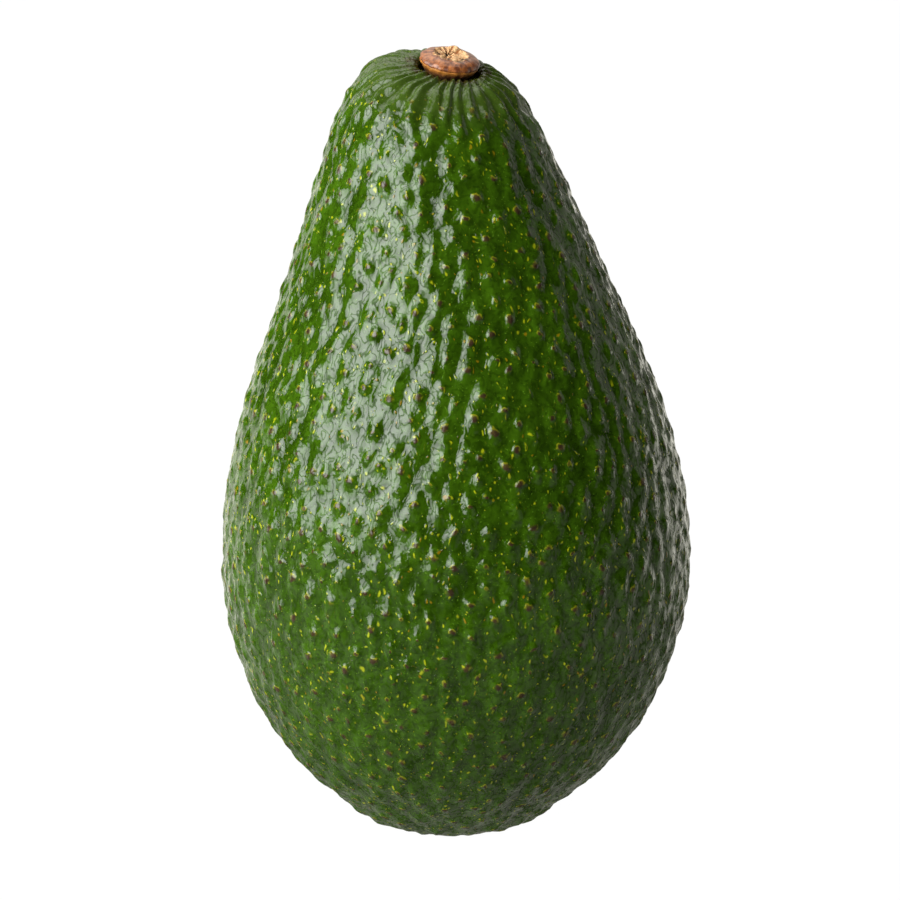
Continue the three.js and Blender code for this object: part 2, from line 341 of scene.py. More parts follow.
@dataclass(frozen=True)
class FruitBody:
    """The bare body: rings that lean and tilt towards the crown and turn down into the stem hollow.

    A place along it is counted in rings from the foot up. Each body ring is radius, height, lean in X,
    lean in Y and share of the crown's tilt. Each hollow ring is radius and height over the crown's plane.
    Each swelling is waves round the body, waves along it by place, share of the radius and phase.
    """

    depth_share: float = 0.97
    body_rings: tuple[tuple[float, ...], ...] = (
        (6.5, 0, 0, 0, 0),
        (10.4, 1.3, 0, 0, 0),
        (15.0, 3.9, 0, 0, 0),
        (25.3, 14.4, 0.3, 0, 0),
        (31.9, 30.0, 0.4, 0, 0),
        (32.5, 46.0, 0.4, 0, 0),
        (29.0, 62.0, 0.2, 0, 0),
        (22.9, 77.8, -0.3, 0, 0.05),
        (17.2, 92.6, -1.3, 0, 0.2),
        (13.3, 102.2, -1.9, -0.1, 0.5),
        (9.2, 107.4, -1.6, -0.3, 0.9),
    )
    crown_centre: tuple[float, float, float] = (-0.5, -0.6, 108.3)
    tilt_right: float = 9
    tilt_forward: float = 12
    hollow_rings: tuple[tuple[float, float], ...] = (
        (5.1, 0),
        (4.4, -0.75),
        (3.7, -1.55),
        (2.7, -2.2),
        (0.9, -2.45),
    )
    swellings: tuple[tuple[float, ...], ...] = (
        (2, 0.5, 0.004, 0.8),
        (3, 1.0, 0.004, 2.1),
        (5, 1.5, 0.002, 4.4),
    )
    measuring_steps: int = 1600
    nudge: float = 1e-3

    def crown_turn(self, share: Array) -> Array:
        """Gives the rotation of a ring.

        Args:
            share: Share of the crown's tilt.

        Returns:
            A 3 by 3 matrix for each share.
        """
        forward = math.radians(self.tilt_forward) * np.asarray(share, float)
        right = math.radians(self.tilt_right) * np.asarray(share, float)
        cos_f, sin_f, cos_r, sin_r = np.cos(forward), np.sin(forward), np.cos(right), np.sin(right)
        rows = (
            (cos_r, np.zeros_like(cos_r), sin_r),
            (sin_f * sin_r, cos_f, -sin_f * cos_r),
            (-cos_f * sin_r, sin_f, cos_f * cos_r),
        )
        return np.stack([np.stack(row, -1) for row in rows], -2)

    def knots(self) -> Array:
        """Lists the rings from the foot to the hollow.

        Returns:
            Radius, share of the crown's tilt and centre, one ring a row.
        """
        rows = [(radius, tilt, x, y, height) for radius, height, x, y, tilt in self.body_rings]
        for radius, height in self.hollow_rings:
            centre = self.crown_turn(1) @ (0, 0, height) + self.crown_centre
            rows.append((radius, 1, *centre))
        return np.array(rows)

    @property
    def rim_place(self) -> int:
        """Place of the crown's rim."""
        return len(self.body_rings)

    @property
    def last_place(self) -> int:
        """Place of the hollow's floor."""
        return len(self.body_rings) + len(self.hollow_rings) - 1

    def points(self, place: Array, angle: Array) -> Array:
        """Finds points of the bare body.

        Args:
            place: Places along the fruit.
            angle: Angles round it, in radians.

        Returns:
            One point a row.
        """
        ring = curve_through(self.knots(), place)
        fade = np.sin(np.pi * np.minimum(place / self.rim_place, 1))
        widen = 1 + sum(
            fade * share * np.cos(around * angle + along * place + phase)
            for around, along, share, phase in self.swellings
        )
        radius = ring[..., 0] * widen
        x, y = radius * np.cos(angle), radius * np.sin(angle) * self.depth_share
        level = np.stack([x, y, 0 * radius], -1)
        return np.einsum("...ij,...j->...i", self.crown_turn(ring[..., 1]), level) + ring[..., 2:]

    def directions(self, place: Array, angle: Array) -> tuple[Array, Array, Array]:
        """Finds the directions of the skin.

        Args:
            place: Places along the fruit.
            angle: Angles round it, in radians.

        Returns:
            Unit vectors along the fruit, round it and out of it, one a row.
        """
        along = self.points(place + self.nudge, angle) - self.points(place - self.nudge, angle)
        around = self.points(place, angle + self.nudge) - self.points(place, angle - self.nudge)
        outward = np.cross(around, along)
        return tuple(v / np.linalg.norm(v, axis=-1, keepdims=True) for v in (along, around, outward))

    def measures(self) -> dict[str, Array]:
        """Measures way and area of the skin from the foot up.

        Returns:
            Arrays of place, ring radius, way along the skin and area of skin.
        """
        place = np.linspace(0, self.last_place, self.measuring_steps + 1)
        ring = curve_through(self.knots(), place)
        way = np.linalg.norm(np.diff(ring[:, (0, 2, 3, 4)], axis=0), axis=1)
        radius = (ring[1:, 0] + ring[:-1, 0]) / 2
        area = running_total(TURN * radius * way)
        return {"place": place, "radius": ring[:, 0], "way": running_total(way), "area": area}


@dataclass(frozen=True)
class Survey:
    """Points of the bare body, and where on the skin each of them lies."""

    spots: Array
    along: Array
    around: Array
    outward: Array
    angle: Array
    radius: Array
    way: Array
    out_of_rim: Array
    on_foot: Array


# ---- What is raised from the body ----


@dataclass(frozen=True)
class Pleats:
    """Ribs gathered into the stem hollow, with narrow creases between them."""

    count: int = 30
    # A crest is as high as its width allows, up to a limit. Crests differ in height and wobble sideways,
    # by shares of a pleat's height and width.
    steepness: float = 0.2
    height: float = 0.2
    unevenness: float = 0.6
    wobble: float = 0.24
    # Ways outwards from the rim where the pleats begin and are whole, from outside and from the hollow.
    outer_reach: Ramp = Ramp(17.0, 1.5)
    inner_reach: Ramp = Ramp(-3.6, 0.0)
    # Sharp creases take this share of the height, and round waves the rest.
    rib_share: float = 0.25
    # Crests drift to and fro by this share of a pleat's width.
    drift: float = 0.55
    drift_grain: Grain = Grain(5.0, 6.6)
    drift_reach: Ramp = Ramp(-1.0, 4.0)

    def share(self, way: Array) -> Array:
        """Tells how far the skin is pleated, by its way outwards from the rim."""
        return smooth(way, *self.outer_reach) * smooth(way, *self.inner_reach)

    def relief(self, here: Survey) -> Array:
        """Raises the pleats, which drift to and fro as they leave the hollow.

        Args:
            here: Points of the bare body.

        Returns:
            Height over the bare body.
        """
        way = here.out_of_rim
        drift = self.drift * rough(here.spots, *self.drift_grain) * TURN / self.count
        turned = np.mod(here.angle + drift * smooth(way, *self.drift_reach), TURN)
        index = np.arange(-1, self.count + 2)
        number = index % self.count
        crests = (index + self.wobble / 2 * draw(number, Purpose.CREST_WOBBLE)) * TURN / self.count
        phase = np.interp(turned, crests, index)
        vigour = 1 + self.unevenness * np.interp(phase, index, draw(number, Purpose.PLEAT_VIGOUR))
        ribs = 2 * np.abs(np.cos(np.pi * phase)) - 1
        waves = np.cos(TURN * phase)
        height = np.minimum(self.steepness * TURN / self.count * here.radius, self.height)
        return self.share(way) * height * vigour * (self.rib_share * ribs + (1 - self.rib_share) * waves)


@dataclass(frozen=True)
class Nearest:
    """How points of the skin lie to the pebbles next to them."""

    mound: Array
    offset: Array
    first: Array
    second: Array
    sideways: Array
    number: Array


@dataclass(frozen=True)
class Nodules:
    """Raised pebbles with corky tips, on the same spiral as the solids' but starting nearer to the rim."""

    # Centres on a spiral that gives each the same area, nudged by a share of their spacing. Those too near
    # the foot or the rim are left out.
    count: int = 1640
    nudge: float = 0.3
    margin: float = 1.8
    free_rim: float = 5.6
    # Mounds, longer along the fruit than across it, which merge where they meet.
    height: tuple[float, float] = (0.28, 0.52)
    width: float = 1.05
    width_unevenness: float = 0.2
    stretch: float = 2.0
    peakedness: float = 1.9
    merging: float = 1.8
    neighbours: int = 8
    foot_reach: Ramp = Ramp(0.0, 9.0)
    rim_reach: Ramp = Ramp(2.0, 8.5)
    # Corky tips, which fade before the skin nearer to another pebble begins.
    tip_radius: tuple[float, float] = (0.16, 0.48)
    clear_tip: Ramp = Ramp(0.6, 1.1)
    tip_reach: Ramp = Ramp(2.2, 1.7)

    def vigour(self, here: Survey) -> Array:
        """Tells how far the pebbles have grown, which fade at the foot and at the rim."""
        return smooth(here.way, *self.foot_reach) * smooth(here.out_of_rim, *self.rim_reach)

    def centres(self, body: FruitBody) -> tuple[Array, Array]:
        """Sets out the pebbles.

        Args:
            body: The bare body.

        Returns:
            Centres on the bare body, and the number of each pebble.
        """
        sizes = body.measures()
        rim_way = np.interp(body.rim_place, sizes["place"], sizes["way"])
        item = np.arange(self.count)
        area = sizes["area"][-1]
        spacing = math.sqrt(area / self.count)
        way = np.interp(area * (item + 0.5) / self.count, sizes["area"], sizes["way"])
        way = way + self.nudge * spacing * draw(item, Purpose.NUDGE_ALONG)
        kept = (way > self.margin) & (way < rim_way - self.free_rim)
        item, way = item[kept], way[kept]
        place = np.interp(way, sizes["way"], sizes["place"])
        radius = np.interp(place, sizes["place"], sizes["radius"])
        angle = item * GOLDEN_ANGLE + self.nudge * spacing * draw(item, Purpose.NUDGE_ROUND) / radius
        return body.points(place, angle), item

    def nearest(self, spots: Array, here: Survey, body: FruitBody) -> Nearest:
        """Measures each skin point against the pebbles nearest to it.

        Args:
            spots: Points to measure from, which may sway away from the bare body.
            here: Points of the bare body.
            body: The bare body.

        Returns:
            Height of the pebbles, offset from the nearest centre, distances to the two nearest with the
            stretch taken out, how far those two lie side by side, and the number of the nearest.
        """
        centres, item = self.centres(body)
        tree = kdtree.KDTree(len(centres))
        for i, centre in enumerate(centres.tolist()):
            tree.insert(centre, i)
        tree.balance()
        near = np.array([[i for _, i, _ in tree.find_n(spot, self.neighbours)] for spot in spots.tolist()])
        offset = spots[:, None] - centres[near]
        across = (offset * here.around[:, None]).sum(-1)
        up = (offset * here.along[:, None]).sum(-1) / self.stretch
        distance = np.hypot(across, up)
        order = np.argsort(distance, axis=1)
        row = np.arange(len(spots))
        first, second = order[:, 0], order[:, 1]
        apart = centres[near[row, second]] - centres[near[row, first]]
        number = item[near]
        height = np.interp(draw(number, Purpose.PEBBLE_HEIGHT), (-1, 1), self.height)
        width = self.width * (1 + self.width_unevenness * draw(number, Purpose.PEBBLE_WIDTH))
        mounds = height * np.exp(-((distance / width) ** self.peakedness))
        return Nearest(
            mound=(mounds**self.merging).sum(axis=1) ** (1 / self.merging),
            offset=offset[row, first],
            first=distance[row, first],
            second=distance[row, second],
            sideways=np.abs((apart * here.around).sum(-1)) / np.linalg.norm(apart, axis=1),
            number=item[near[row, first]],
        )

    def tip_values(self, near: Nearest, vigour: Array) -> dict[str, Array]:
        """Lists what the finish needs to draw the corky tips.

        Args:
            near: How the skin points lie to the pebbles.
            vigour: How far the pebbles have grown there.

        Returns:
            Attributes by name: offset from the tip, whether it is near, and its radius.
        """
        reach = np.linalg.norm(near.offset, axis=1)
        clear = smooth(near.second - near.first, *self.clear_tip) * smooth(reach, *self.tip_reach)
        radius = np.interp(draw(near.number, Purpose.TIP_RADIUS), (-1, 1), self.tip_radius)
        return {"tip_offset": near.offset, "tip_near": clear * vigour, "tip_radius": radius}


@dataclass(frozen=True)
class Relief:
    """Medium relief of the pebbled skin, between the pebbles and the fine grain of the finish."""

    # Depth of the mean skin under the bare body.
    sinking: float = 0.2
    # Sideways sway of the pebbles, and slow bumps that make mounds, creases and braids uneven.
    sway: float = 0.4
    sway_size: float = 3.2
    sway_seeds: tuple[float, float, float] = (1.1, 2.7, 4.9)
    bump_grain: Grain = Grain(1.6, 3.7)
    mound_unevenness: float = 0.15
    # Creases between neighbours, deepest where two pebbles lie side by side.
    crease_depth: float = 0.08
    crease_width: float = 1.3
    crease_unevenness: float = 0.3
    crease_along_share: float = 0.2
    # Braids: long ridges that run from pebble to pebble along the fruit.
    braid_height: float = 0.08
    braid_grain: Grain = Grain((2.0, 2.0, 5.5), 11.3)
    braid_width: float = 0.35
    braid_sharpness: float = 1.5
    braid_level: float = 0.35
    braid_sway: float = 0.5
    # Wrinkles: shorter ridges between them.
    wrinkle_height: float = 0.05
    wrinkle_grain: Grain = Grain((1.3, 1.3, 2.4), 17.7)
    wrinkle_width: float = 0.4
    wrinkle_level: float = 0.65
    # Swelling of the whole skin.
    swell_height: float = 0.05
    swell_grain: Grain = Grain(6.0, 5.1)
    swell_foot_reach: Ramp = Ramp(0.0, 20.0)
    swell_rim_reach: Ramp = Ramp(2.0, 15.0)
    # Lip round the hollow, by way outwards from the rim.
    lip_height: float = 0.28
    lip_inside: Ramp = Ramp(-2.4, -0.6)
    lip_outside: Ramp = Ramp(1.6, -0.2)
    lip_unevenness: float = 0.5
    lip_grain: Grain = Grain(1.5, 9.2)

    def swayed(self, spots: Array) -> Array:
        """Moves points to and fro, so that the pebbles measured from them lose their round outlines."""
        ways = [rough(spots, self.sway_size, seed) for seed in self.sway_seeds]
        return spots + self.sway * np.stack(ways, -1)

    def web(self, spots: Array, bump: Array) -> Array:
        """Raises a web of long braided ridges and shorter wrinkles.

        Args:
            spots: Points of the bare body.
            bump: Slow noise there.

        Returns:
            Height over the bare body.
        """
        pushed = spots + self.braid_sway * bump[:, None]
        braid = np.abs(rough(pushed, *self.braid_grain)) / self.braid_width
        wrinkle = np.abs(rough(spots, *self.wrinkle_grain)) / self.wrinkle_width
        crest = (1 - np.minimum(braid, 1)) ** self.braid_sharpness
        braids = self.braid_height * (crest - self.braid_level)
        return braids + self.wrinkle_height * (self.wrinkle_level - np.minimum(wrinkle, 1))

    def rise(self, here: Survey, near: Nearest, vigour: Array) -> Array:
        """Raises pebbles, creases, web, swelling and the lip of the hollow.

        Args:
            here: Points of the bare body.
            near: How they lie to the pebbles.
            vigour: How far the pebbles have grown there.

        Returns:
            Height over the bare body.
        """
        bump = rough(here.spots, *self.bump_grain)
        crease_reach = self.crease_width * (1 + self.crease_unevenness * bump)
        crease_way = self.crease_along_share + (1 - self.crease_along_share) * near.sideways**2
        crease = self.crease_depth * smooth(near.second - near.first, crease_reach, 0) * crease_way
        mound = near.mound * (1 + self.mound_unevenness * bump)
        pebbled = vigour * (mound - crease + self.web(here.spots, bump) - self.sinking)
        swell = smooth(here.way, *self.swell_foot_reach) * smooth(here.out_of_rim, *self.swell_rim_reach)
        swell = swell * self.swell_height * rough(here.spots, *self.swell_grain)
        lip = smooth(here.out_of_rim, *self.lip_inside) * smooth(here.out_of_rim, *self.lip_outside)
        lip = lip * self.lip_height * (1 + self.lip_unevenness * rough(here.spots, *self.lip_grain))
        return pebbled + swell + lip


# ---- Finishes ----


@dataclass(frozen=True)
class SkinPatterns:
    """Sockets that the skin's colour and its relief share."""

    spot: Socket
    fray: Socket
    wandered: Socket
    flowing: Socket
    pleated: Socket
    tip_offset: Socket
    tip_middle: Socket
    tip_near: Socket
    tip_share: Socket
    cork: Socket
    pore_share: Socket
    pore_colours: Socket


@dataclass(frozen=True)
class SkinFinish:
    """Avocado skin: leathery green rind, grown pebbly, under its own thin film of plant wax.

    The wax gives a clear mirror of the lamps that every ridge breaks up, over a deep and uneven green.
    Corky tips are rubbed brown, and breathing pores show as yellow specks. Pattern sizes are in
    millimetres, and so are the heights that ramps of the relief end in.
    """

    deep_green: str = "#213903"
    fresh_green: str = "#375709"
    # Painted shade: this darker green is laid into the low places of the relief; it is also the green of
    # the dark moss-like specks.
    shade_and_moss_green: str = "#142601"
    # Duller olive of the pleats, made paler as painted haze of the light that the crown mirrors.
    pleat_olive_and_haze: str = "#39491a"
    # The stem end's own browning, which also paints shade over the whole hollow under the button.
    rim_brown_and_shade: str = "#2e2410"
    # Paler green flecks: partly tiny pores, partly painted glints of tiny highlights.
    fleck_and_glint_green: str = "#6d9a2c"
    pore_yellow: str = "#9aa014"
    pore_orange: str = "#80620a"
    cork_brown: str = "#33211a"
    collar_yellow: str = "#8c8c18"

    # Wander of all patterns, so that none of them looks ruled.
    wander_cloud: Cloud = Cloud(1.3)
    wander_reach: tuple[float, float, float] = (1.0, 1.0, 1.4)
    fray_cloud: Cloud = Cloud(0.8, 1.0)
    flow_cloud: Cloud = Cloud(2.4, 1.0)
    flow_reach: tuple[float, float, float] = (1.2, 1.2, 1.2)

    # Greens: broad patches, fine mottle and dark moss-like specks; painted shade in the low places of the
    # relief; olive on the pleats, made paler with painted haze; brown at the rim, with painted shade in
    # the hollow; and paler flecks that are partly pores and partly painted glints.
    patch_cloud: Cloud = Cloud(7.0, 3.0)
    patch_ramp: Ramp = Ramp(0.3, 0.75, 0.1, 0.75)
    mottle_cloud: Cloud = Cloud(0.9, 3.0)
    mottle_ramp: Ramp = Ramp(0.42, 0.64, 0.0, 0.4)
    hollow_ramp: Ramp = Ramp(0.0, 1.0, 0.0, 0.5)
    pleat_ramp: Ramp = Ramp(0.3, 1.0, 0.0, 0.75)
    moss_cloud: Cloud = Cloud(0.7, 1.0)
    moss_ramp: Ramp = Ramp(0.42, 0.7, 0.0, 0.55)
    rim_ramp: Ramp = Ramp(0.35, 0.6, 0.9, 0.5)
    fleck_cell: float = 0.55
    fleck_ramp: Ramp = Ramp(0.24, 0.0, 0.0, 0.4)

    # Corky tips: shares of the tip's own radius, with a yellow collar kept to the upper side, where its
    # place paints the light that falls from above.
    tip_fray: tuple[float, float, float] = (0.7, 0.7, 0.9)
    cork_ramp: Ramp = Ramp(1.5, 0.6, 0.0, 0.9)
    collar_ramp: Ramp = Ramp(1.65, 1.25)
    collar_gaps: Ramp = Ramp(-0.09, 0.06, 0.05, 0.75)
    collar_lit_side: Ramp = Ramp(-0.35, 0.15)

    # Breathing pores: a dot of 0.08 to 0.22 in radius in each cell, and cells are longer along the fruit.
    # Those that draw a number over a level are rings. Shares of the dot's own radius tell where it fades
    # and where a ring is open.
    pore_cell: float = 0.8
    pore_squash: float = 0.6
    pore_radius: tuple[float, float] = (0.08, 0.22)
    pore_patch_cloud: Cloud = Cloud(5.0, 1.0)
    pore_patch_ramp: Ramp = Ramp(0.3, 0.65, 0.75, 1.12)
    pore_ramp: Ramp = Ramp(1.2, 0.35)
    pore_pleat_ramp: Ramp = Ramp(0.6, 1.0, 1.0, 0.15)
    pore_strength: float = 0.78
    ring_middle: Ramp = Ramp(0.3, 0.6)
    ring_level: float = 0.88
    orange_ramp: Ramp = Ramp(0.72, 0.9)

    # Fine relief, in millimetres of height. The real crinkle is finer than a tenth of a millimetre, so it
    # is drawn coarser, at 0.42, to show at all.
    ridge_streaks: Streaks = Streaks(0.9, 2.8)
    ridge_ramp: Ramp = Ramp(0.0, 0.22, 0.0, -0.012)
    crinkle_streaks: Streaks = Streaks(0.42, 0.8, 1.0)
    crinkle_height: float = 0.004
    crinkle_pleat_ramp: Ramp = Ramp(0.0, 1.0, 1.0, 0.25)
    strand_size: float = 0.35
    strand_length: float = 2.86
    strand_reach: float = 9.0
    strand_detail: float = 2.0
    strand_height: float = 0.05
    dome_sway: tuple[float, float, float] = (0.8, 0.8, 0.8)
    dome_stretch: tuple[float, float, float] = (1.0, 1.0, 0.75)
    dome_ramp: Ramp = Ramp(1.0, 0.15, 0.0, 0.112)
    knob_ramp: Ramp = Ramp(2.0, 0.6, 0.0, 0.035)
    pore_relief: Ramp = Ramp(1.6, 0.4, 0.0, 0.03)

    # Wax: an index a little over the 1.45 of plant wax, thin along curled lines and over cork.
    wax_index: float = 1.5
    wax_roughness: float = 0.075
    wax_on_pleats: Ramp = Ramp(0.5, 1.0, 1.0, 0.8)
    wax_on_cork: float = 0.8
    curl_streaks: Streaks = Streaks(0.8, 2.1, 1.0)
    curl_ramp: Ramp = Ramp(0.0, 0.08, 0.2, 1.0)
    roughness: float = 0.2
    cork_roughness: float = 0.4

    def patterns(self, add: Adder) -> SkinPatterns:
        """Lays out the wander, the corky tips and the pores.

        Args:
            add: Adds a node to the skin's tree.

        Returns:
            The sockets that colour and relief share.
        """
        place = add("TexCoord", output="Object")
        spot = add("VectorMath", place, inputs={"Scale": 1 / MM}, operation="SCALE")
        drifts = []
        for cloud in (self.wander_cloud, self.fray_cloud, self.flow_cloud):
            field = add("TexNoise", inputs={"Vector": spot} | cloud.settings, output="Color")
            drifts.append(add("VectorMath", field, MIDDLES, operation="SUBTRACT"))
        wander, fray, flow = drifts
        wandered = add("VectorMath", wander, self.wander_reach, spot, operation="MULTIPLY_ADD")
        flowing = add("VectorMath", flow, self.flow_reach, wandered, operation="MULTIPLY_ADD")

        offset = add("Attribute", output="Vector", attribute_name="tip_offset")
        near = add("Attribute", output="Fac", attribute_name="tip_near")
        tip_radius = add("Attribute", output="Fac", attribute_name="tip_radius")
        ragged = add("VectorMath", fray, self.tip_fray, offset, operation="MULTIPLY_ADD")
        from_tip = add("VectorMath", ragged, output="Value", operation="LENGTH")
        tip_share = add("Math", from_tip, tip_radius, operation="DIVIDE")
        swayed = add("VectorMath", wander, self.dome_sway, offset, operation="MULTIPLY_ADD")
        swayed = add("VectorMath", swayed, self.dome_stretch, operation="MULTIPLY")
        corky = add("MapRange", tip_share, *self.cork_ramp, **EASED)

        cells = 1 / self.pore_cell
        squeeze = (cells, cells, cells * self.pore_squash)
        pore_spot = add("VectorMath", wandered, squeeze, operation="MULTIPLY")
        pores = add("TexVoronoi", inputs={"Vector": pore_spot, "Scale": 1.0}, output="Distance")
        chances = pores.node.outputs["Color"]
        low, high = (radius / self.pore_cell for radius in self.pore_radius)
        pore_size = add("MapRange", add("SeparateColor", chances, output=0), 0.0, 1.0, low, high)
        patches = add("TexNoise", inputs={"Vector": spot} | self.pore_patch_cloud.settings)
        patches = add("MapRange", patches, *self.pore_patch_ramp, **EASED)
        pore_size = add("Math", pore_size, patches, operation="MULTIPLY")
        return SkinPatterns(
            spot=spot,
            fray=fray,
            wandered=wandered,
            flowing=flowing,
            pleated=add("Attribute", output="Fac", attribute_name="pleated"),
            tip_offset=offset,
            tip_middle=add("VectorMath", swayed, output="Value", operation="LENGTH"),
            tip_near=near,
            tip_share=tip_share,
            cork=add("Math", corky, near, operation="MULTIPLY"),
            pore_share=add("Math", pores, pore_size, operation="DIVIDE"),
            pore_colours=chances,
        )

    def green(self, add: Adder, by: SkinPatterns) -> Socket:
        """Draws the green: painted shade darkens it in the low places of the relief, so ridges stay
        fresher; olive on pleats with painted haze; brown at the rim with painted shade in the hollow.

        Args:
            add: Adds a node to the skin's tree.
            by: The shared patterns.

        Returns:
            The colour.
        """
        hollow = add("Attribute", output="Fac", attribute_name="hollow")
        rim = add("Attribute", output="Fac", attribute_name="rim")
        patches = add("TexNoise", inputs={"Vector": by.spot} | self.patch_cloud.settings)
        mottle = add("TexNoise", inputs={"Vector": by.wandered} | self.mottle_cloud.settings)
        moss = add("TexNoise", inputs={"Vector": by.wandered} | self.moss_cloud.settings)
        cells = {"Vector": by.wandered, "Scale": 1 / self.fleck_cell}
        flecks = add("TexVoronoi", inputs=cells, output="Distance")
        unpleated = add("Math", 1.0, by.pleated, operation="SUBTRACT")
        moss_share = add("MapRange", moss, *self.moss_ramp, **EASED)
        rim_share = add("MapRange", moss, *self.rim_ramp, **EASED)
        colour = linear(self.deep_green)
        for share, hex_code in (
            (add("MapRange", patches, *self.patch_ramp, **EASED), self.fresh_green),
            (add("MapRange", mottle, *self.mottle_ramp, **EASED), self.fresh_green),
            # Painted shade: the low places of the relief are painted darker green.
            (add("MapRange", hollow, *self.hollow_ramp, **EASED), self.shade_and_moss_green),
            # Pleats: their own duller olive, made paler as painted haze.
            (add("MapRange", by.pleated, *self.pleat_ramp, **EASED), self.pleat_olive_and_haze),
            (add("Math", moss_share, unpleated, operation="MULTIPLY"), self.shade_and_moss_green),
            # Brown at the rim, and painted shade in the hollow under the button.
            (add("Math", rim_share, rim, operation="MULTIPLY"), self.rim_brown_and_shade),
            # Flecks: partly tiny pores, partly painted glints.
            (add("MapRange", flecks, *self.fleck_ramp, **EASED), self.fleck_and_glint_green),
        ):
            layers = {FACTOR: share, COLOUR_A: colour, COLOUR_B: linear(hex_code)}
            colour = add("Mix", inputs=layers, **COLOURS)
        return colour

    def colour(self, add: Adder, by: SkinPatterns) -> Socket:
        """Draws yellow collars, pores and corky tips over the green.

        Args:
            add: Adds a node to the skin's tree.
            by: The shared patterns.

        Returns:
            The colour.
        """
        collar = add("MapRange", by.tip_share, *self.collar_ramp, **EASED)
        gaps = add("MapRange", add("SeparateXYZ", by.fray, output=0), *self.collar_gaps, **EASED)
        # The collar's yellow is its own; keeping it to the upper side of each tip is a painted lit edge.
        above = add("MapRange", add("SeparateXYZ", by.tip_offset, output=2), *self.collar_lit_side, **EASED)
        for share in (by.tip_near, gaps, above):
            collar = add("Math", collar, share, operation="MULTIPLY")

        kind = add("SeparateColor", by.pore_colours, output=1)
        shade = add("SeparateColor", by.pore_colours, output=2)
        dot = add("MapRange", by.pore_share, *self.pore_ramp, **EASED)
        middle = add("MapRange", by.pore_share, *self.ring_middle, **EASED)
        ring = add("Math", dot, middle, operation="MULTIPLY")
        is_ring = add("Math", kind, self.ring_level, operation="GREATER_THAN")
        pore = add("Mix", inputs={FACTOR: is_ring, NUMBER_A: dot, NUMBER_B: ring})
        bare = add("Math", 1.0, by.cork, operation="SUBTRACT")
        smooth_skin = add("MapRange", by.pleated, *self.pore_pleat_ramp, **EASED)
        for share in (bare, smooth_skin, self.pore_strength):
            pore = add("Math", pore, share, operation="MULTIPLY")
        orange = add("MapRange", shade, *self.orange_ramp, **EASED)
        hues = {FACTOR: orange, COLOUR_A: linear(self.pore_yellow), COLOUR_B: linear(self.pore_orange)}
        pore_colour = add("Mix", inputs=hues, **COLOURS)

        colour = self.green(add, by)
        for share, layer in (
            (collar, linear(self.collar_yellow)),
            (pore, pore_colour),
            (by.cork, linear(self.cork_brown)),
        ):
            colour = add("Mix", inputs={FACTOR: share, COLOUR_A: colour, COLOUR_B: layer}, **COLOURS)
        return colour

    def normal(self, add: Adder, by: SkinPatterns) -> Socket:
        """Raises fine ridges, crinkles, strands on the pleats, tips and pores.

        Args:
            add: Adds a node to the skin's tree.
            by: The shared patterns.

        Returns:
            The normal.
        """
        vigour = add("Attribute", output="Fac", attribute_name="vigour")
        radial = add("Attribute", output="Vector", attribute_name="radial")
        unpleated = add("Math", 1.0, by.pleated, operation="SUBTRACT")
        squeezed = add("VectorMath", by.wandered, self.ridge_streaks.squeeze, operation="MULTIPLY")
        ridge = add("TexNoise", inputs={"Vector": squeezed} | self.ridge_streaks.settings)
        ridge = add("Math", add("Math", ridge, MIDDLE, operation="SUBTRACT"), operation="ABSOLUTE")
        ridge = add("MapRange", ridge, *self.ridge_ramp, **EASED)
        for share in (vigour, unpleated):
            ridge = add("Math", ridge, share, operation="MULTIPLY")

        squeezed = add("VectorMath", by.flowing, self.crinkle_streaks.squeeze, operation="MULTIPLY")
        crinkle = add("TexNoise", inputs={"Vector": squeezed} | self.crinkle_streaks.settings)
        crinkle = add("Math", crinkle, self.crinkle_height, operation="MULTIPLY")
        fading = add("MapRange", by.pleated, *self.crinkle_pleat_ramp, **EASED)
        crinkle = add("Math", crinkle, fading, operation="MULTIPLY")

        strand = add("TexNoise", inputs={"Vector": radial, "Scale": 1.0, "Detail": self.strand_detail})
        strand = add("Math", strand, MIDDLE, operation="SUBTRACT")
        for share in (by.pleated, self.strand_height):
            strand = add("Math", strand, share, operation="MULTIPLY")
        dome = add("MapRange", by.tip_middle, *self.dome_ramp, **EASED)
        knob = add("MapRange", by.tip_share, *self.knob_ramp, **EASED)
        tip = add("Math", add("Math", dome, knob, operation="ADD"), by.tip_near, operation="MULTIPLY")
        pore = add("MapRange", by.pore_share, *self.pore_relief, **EASED)

        height = ridge
        for part in (crinkle, strand, tip, pore):
            height = add("Math", height, part, operation="ADD")
        return add("Bump", inputs={"Height": height, "Distance": MM, "Strength": 1.0})

    def wax(self, add: Adder, by: SkinPatterns) -> Socket:
        """Thins the wax along curled lines, over cork and on the pleats.

        Args:
            add: Adds a node to the skin's tree.
            by: The shared patterns.

        Returns:
            Share of wax.
        """
        squeezed = add("VectorMath", by.flowing, self.curl_streaks.squeeze, operation="MULTIPLY")
        curl = add("TexNoise", inputs={"Vector": squeezed} | self.curl_streaks.settings)
        curl = add("Math", add("Math", curl, MIDDLE, operation="SUBTRACT"), operation="ABSOLUTE")
        wax = add("MapRange", curl, *self.curl_ramp, **EASED)
        on_cork = add("MapRange", by.cork, 0.0, 1.0, 1.0, self.wax_on_cork)
        on_pleats = add("MapRange", by.pleated, *self.wax_on_pleats, **EASED)
        for share in (on_cork, on_pleats):
            wax = add("Math", wax, share, operation="MULTIPLY")
        return wax

    def build(self) -> bpy.types.Material:
        """Makes the material.

        Returns:
            The avocado skin.
        """
        shader = Shader("waxy_avocado_skin")
        add = shader.add
        by = self.patterns(add)
        normal = self.normal(add, by)
        inputs = {
            "Base Color": self.colour(add, by),
            "Roughness": add("MapRange", by.cork, 0.0, 1.0, self.roughness, self.cork_roughness),
            "Specular IOR Level": 0.0,
            "Normal": normal,
            "Coat Weight": self.wax(add, by),
            "Coat Roughness": self.wax_roughness,
            "Coat IOR": self.wax_index,
            "Coat Normal": normal,
        }
        add("OutputMaterial", add("BsdfPrincipled", inputs=inputs))
        return shader.material


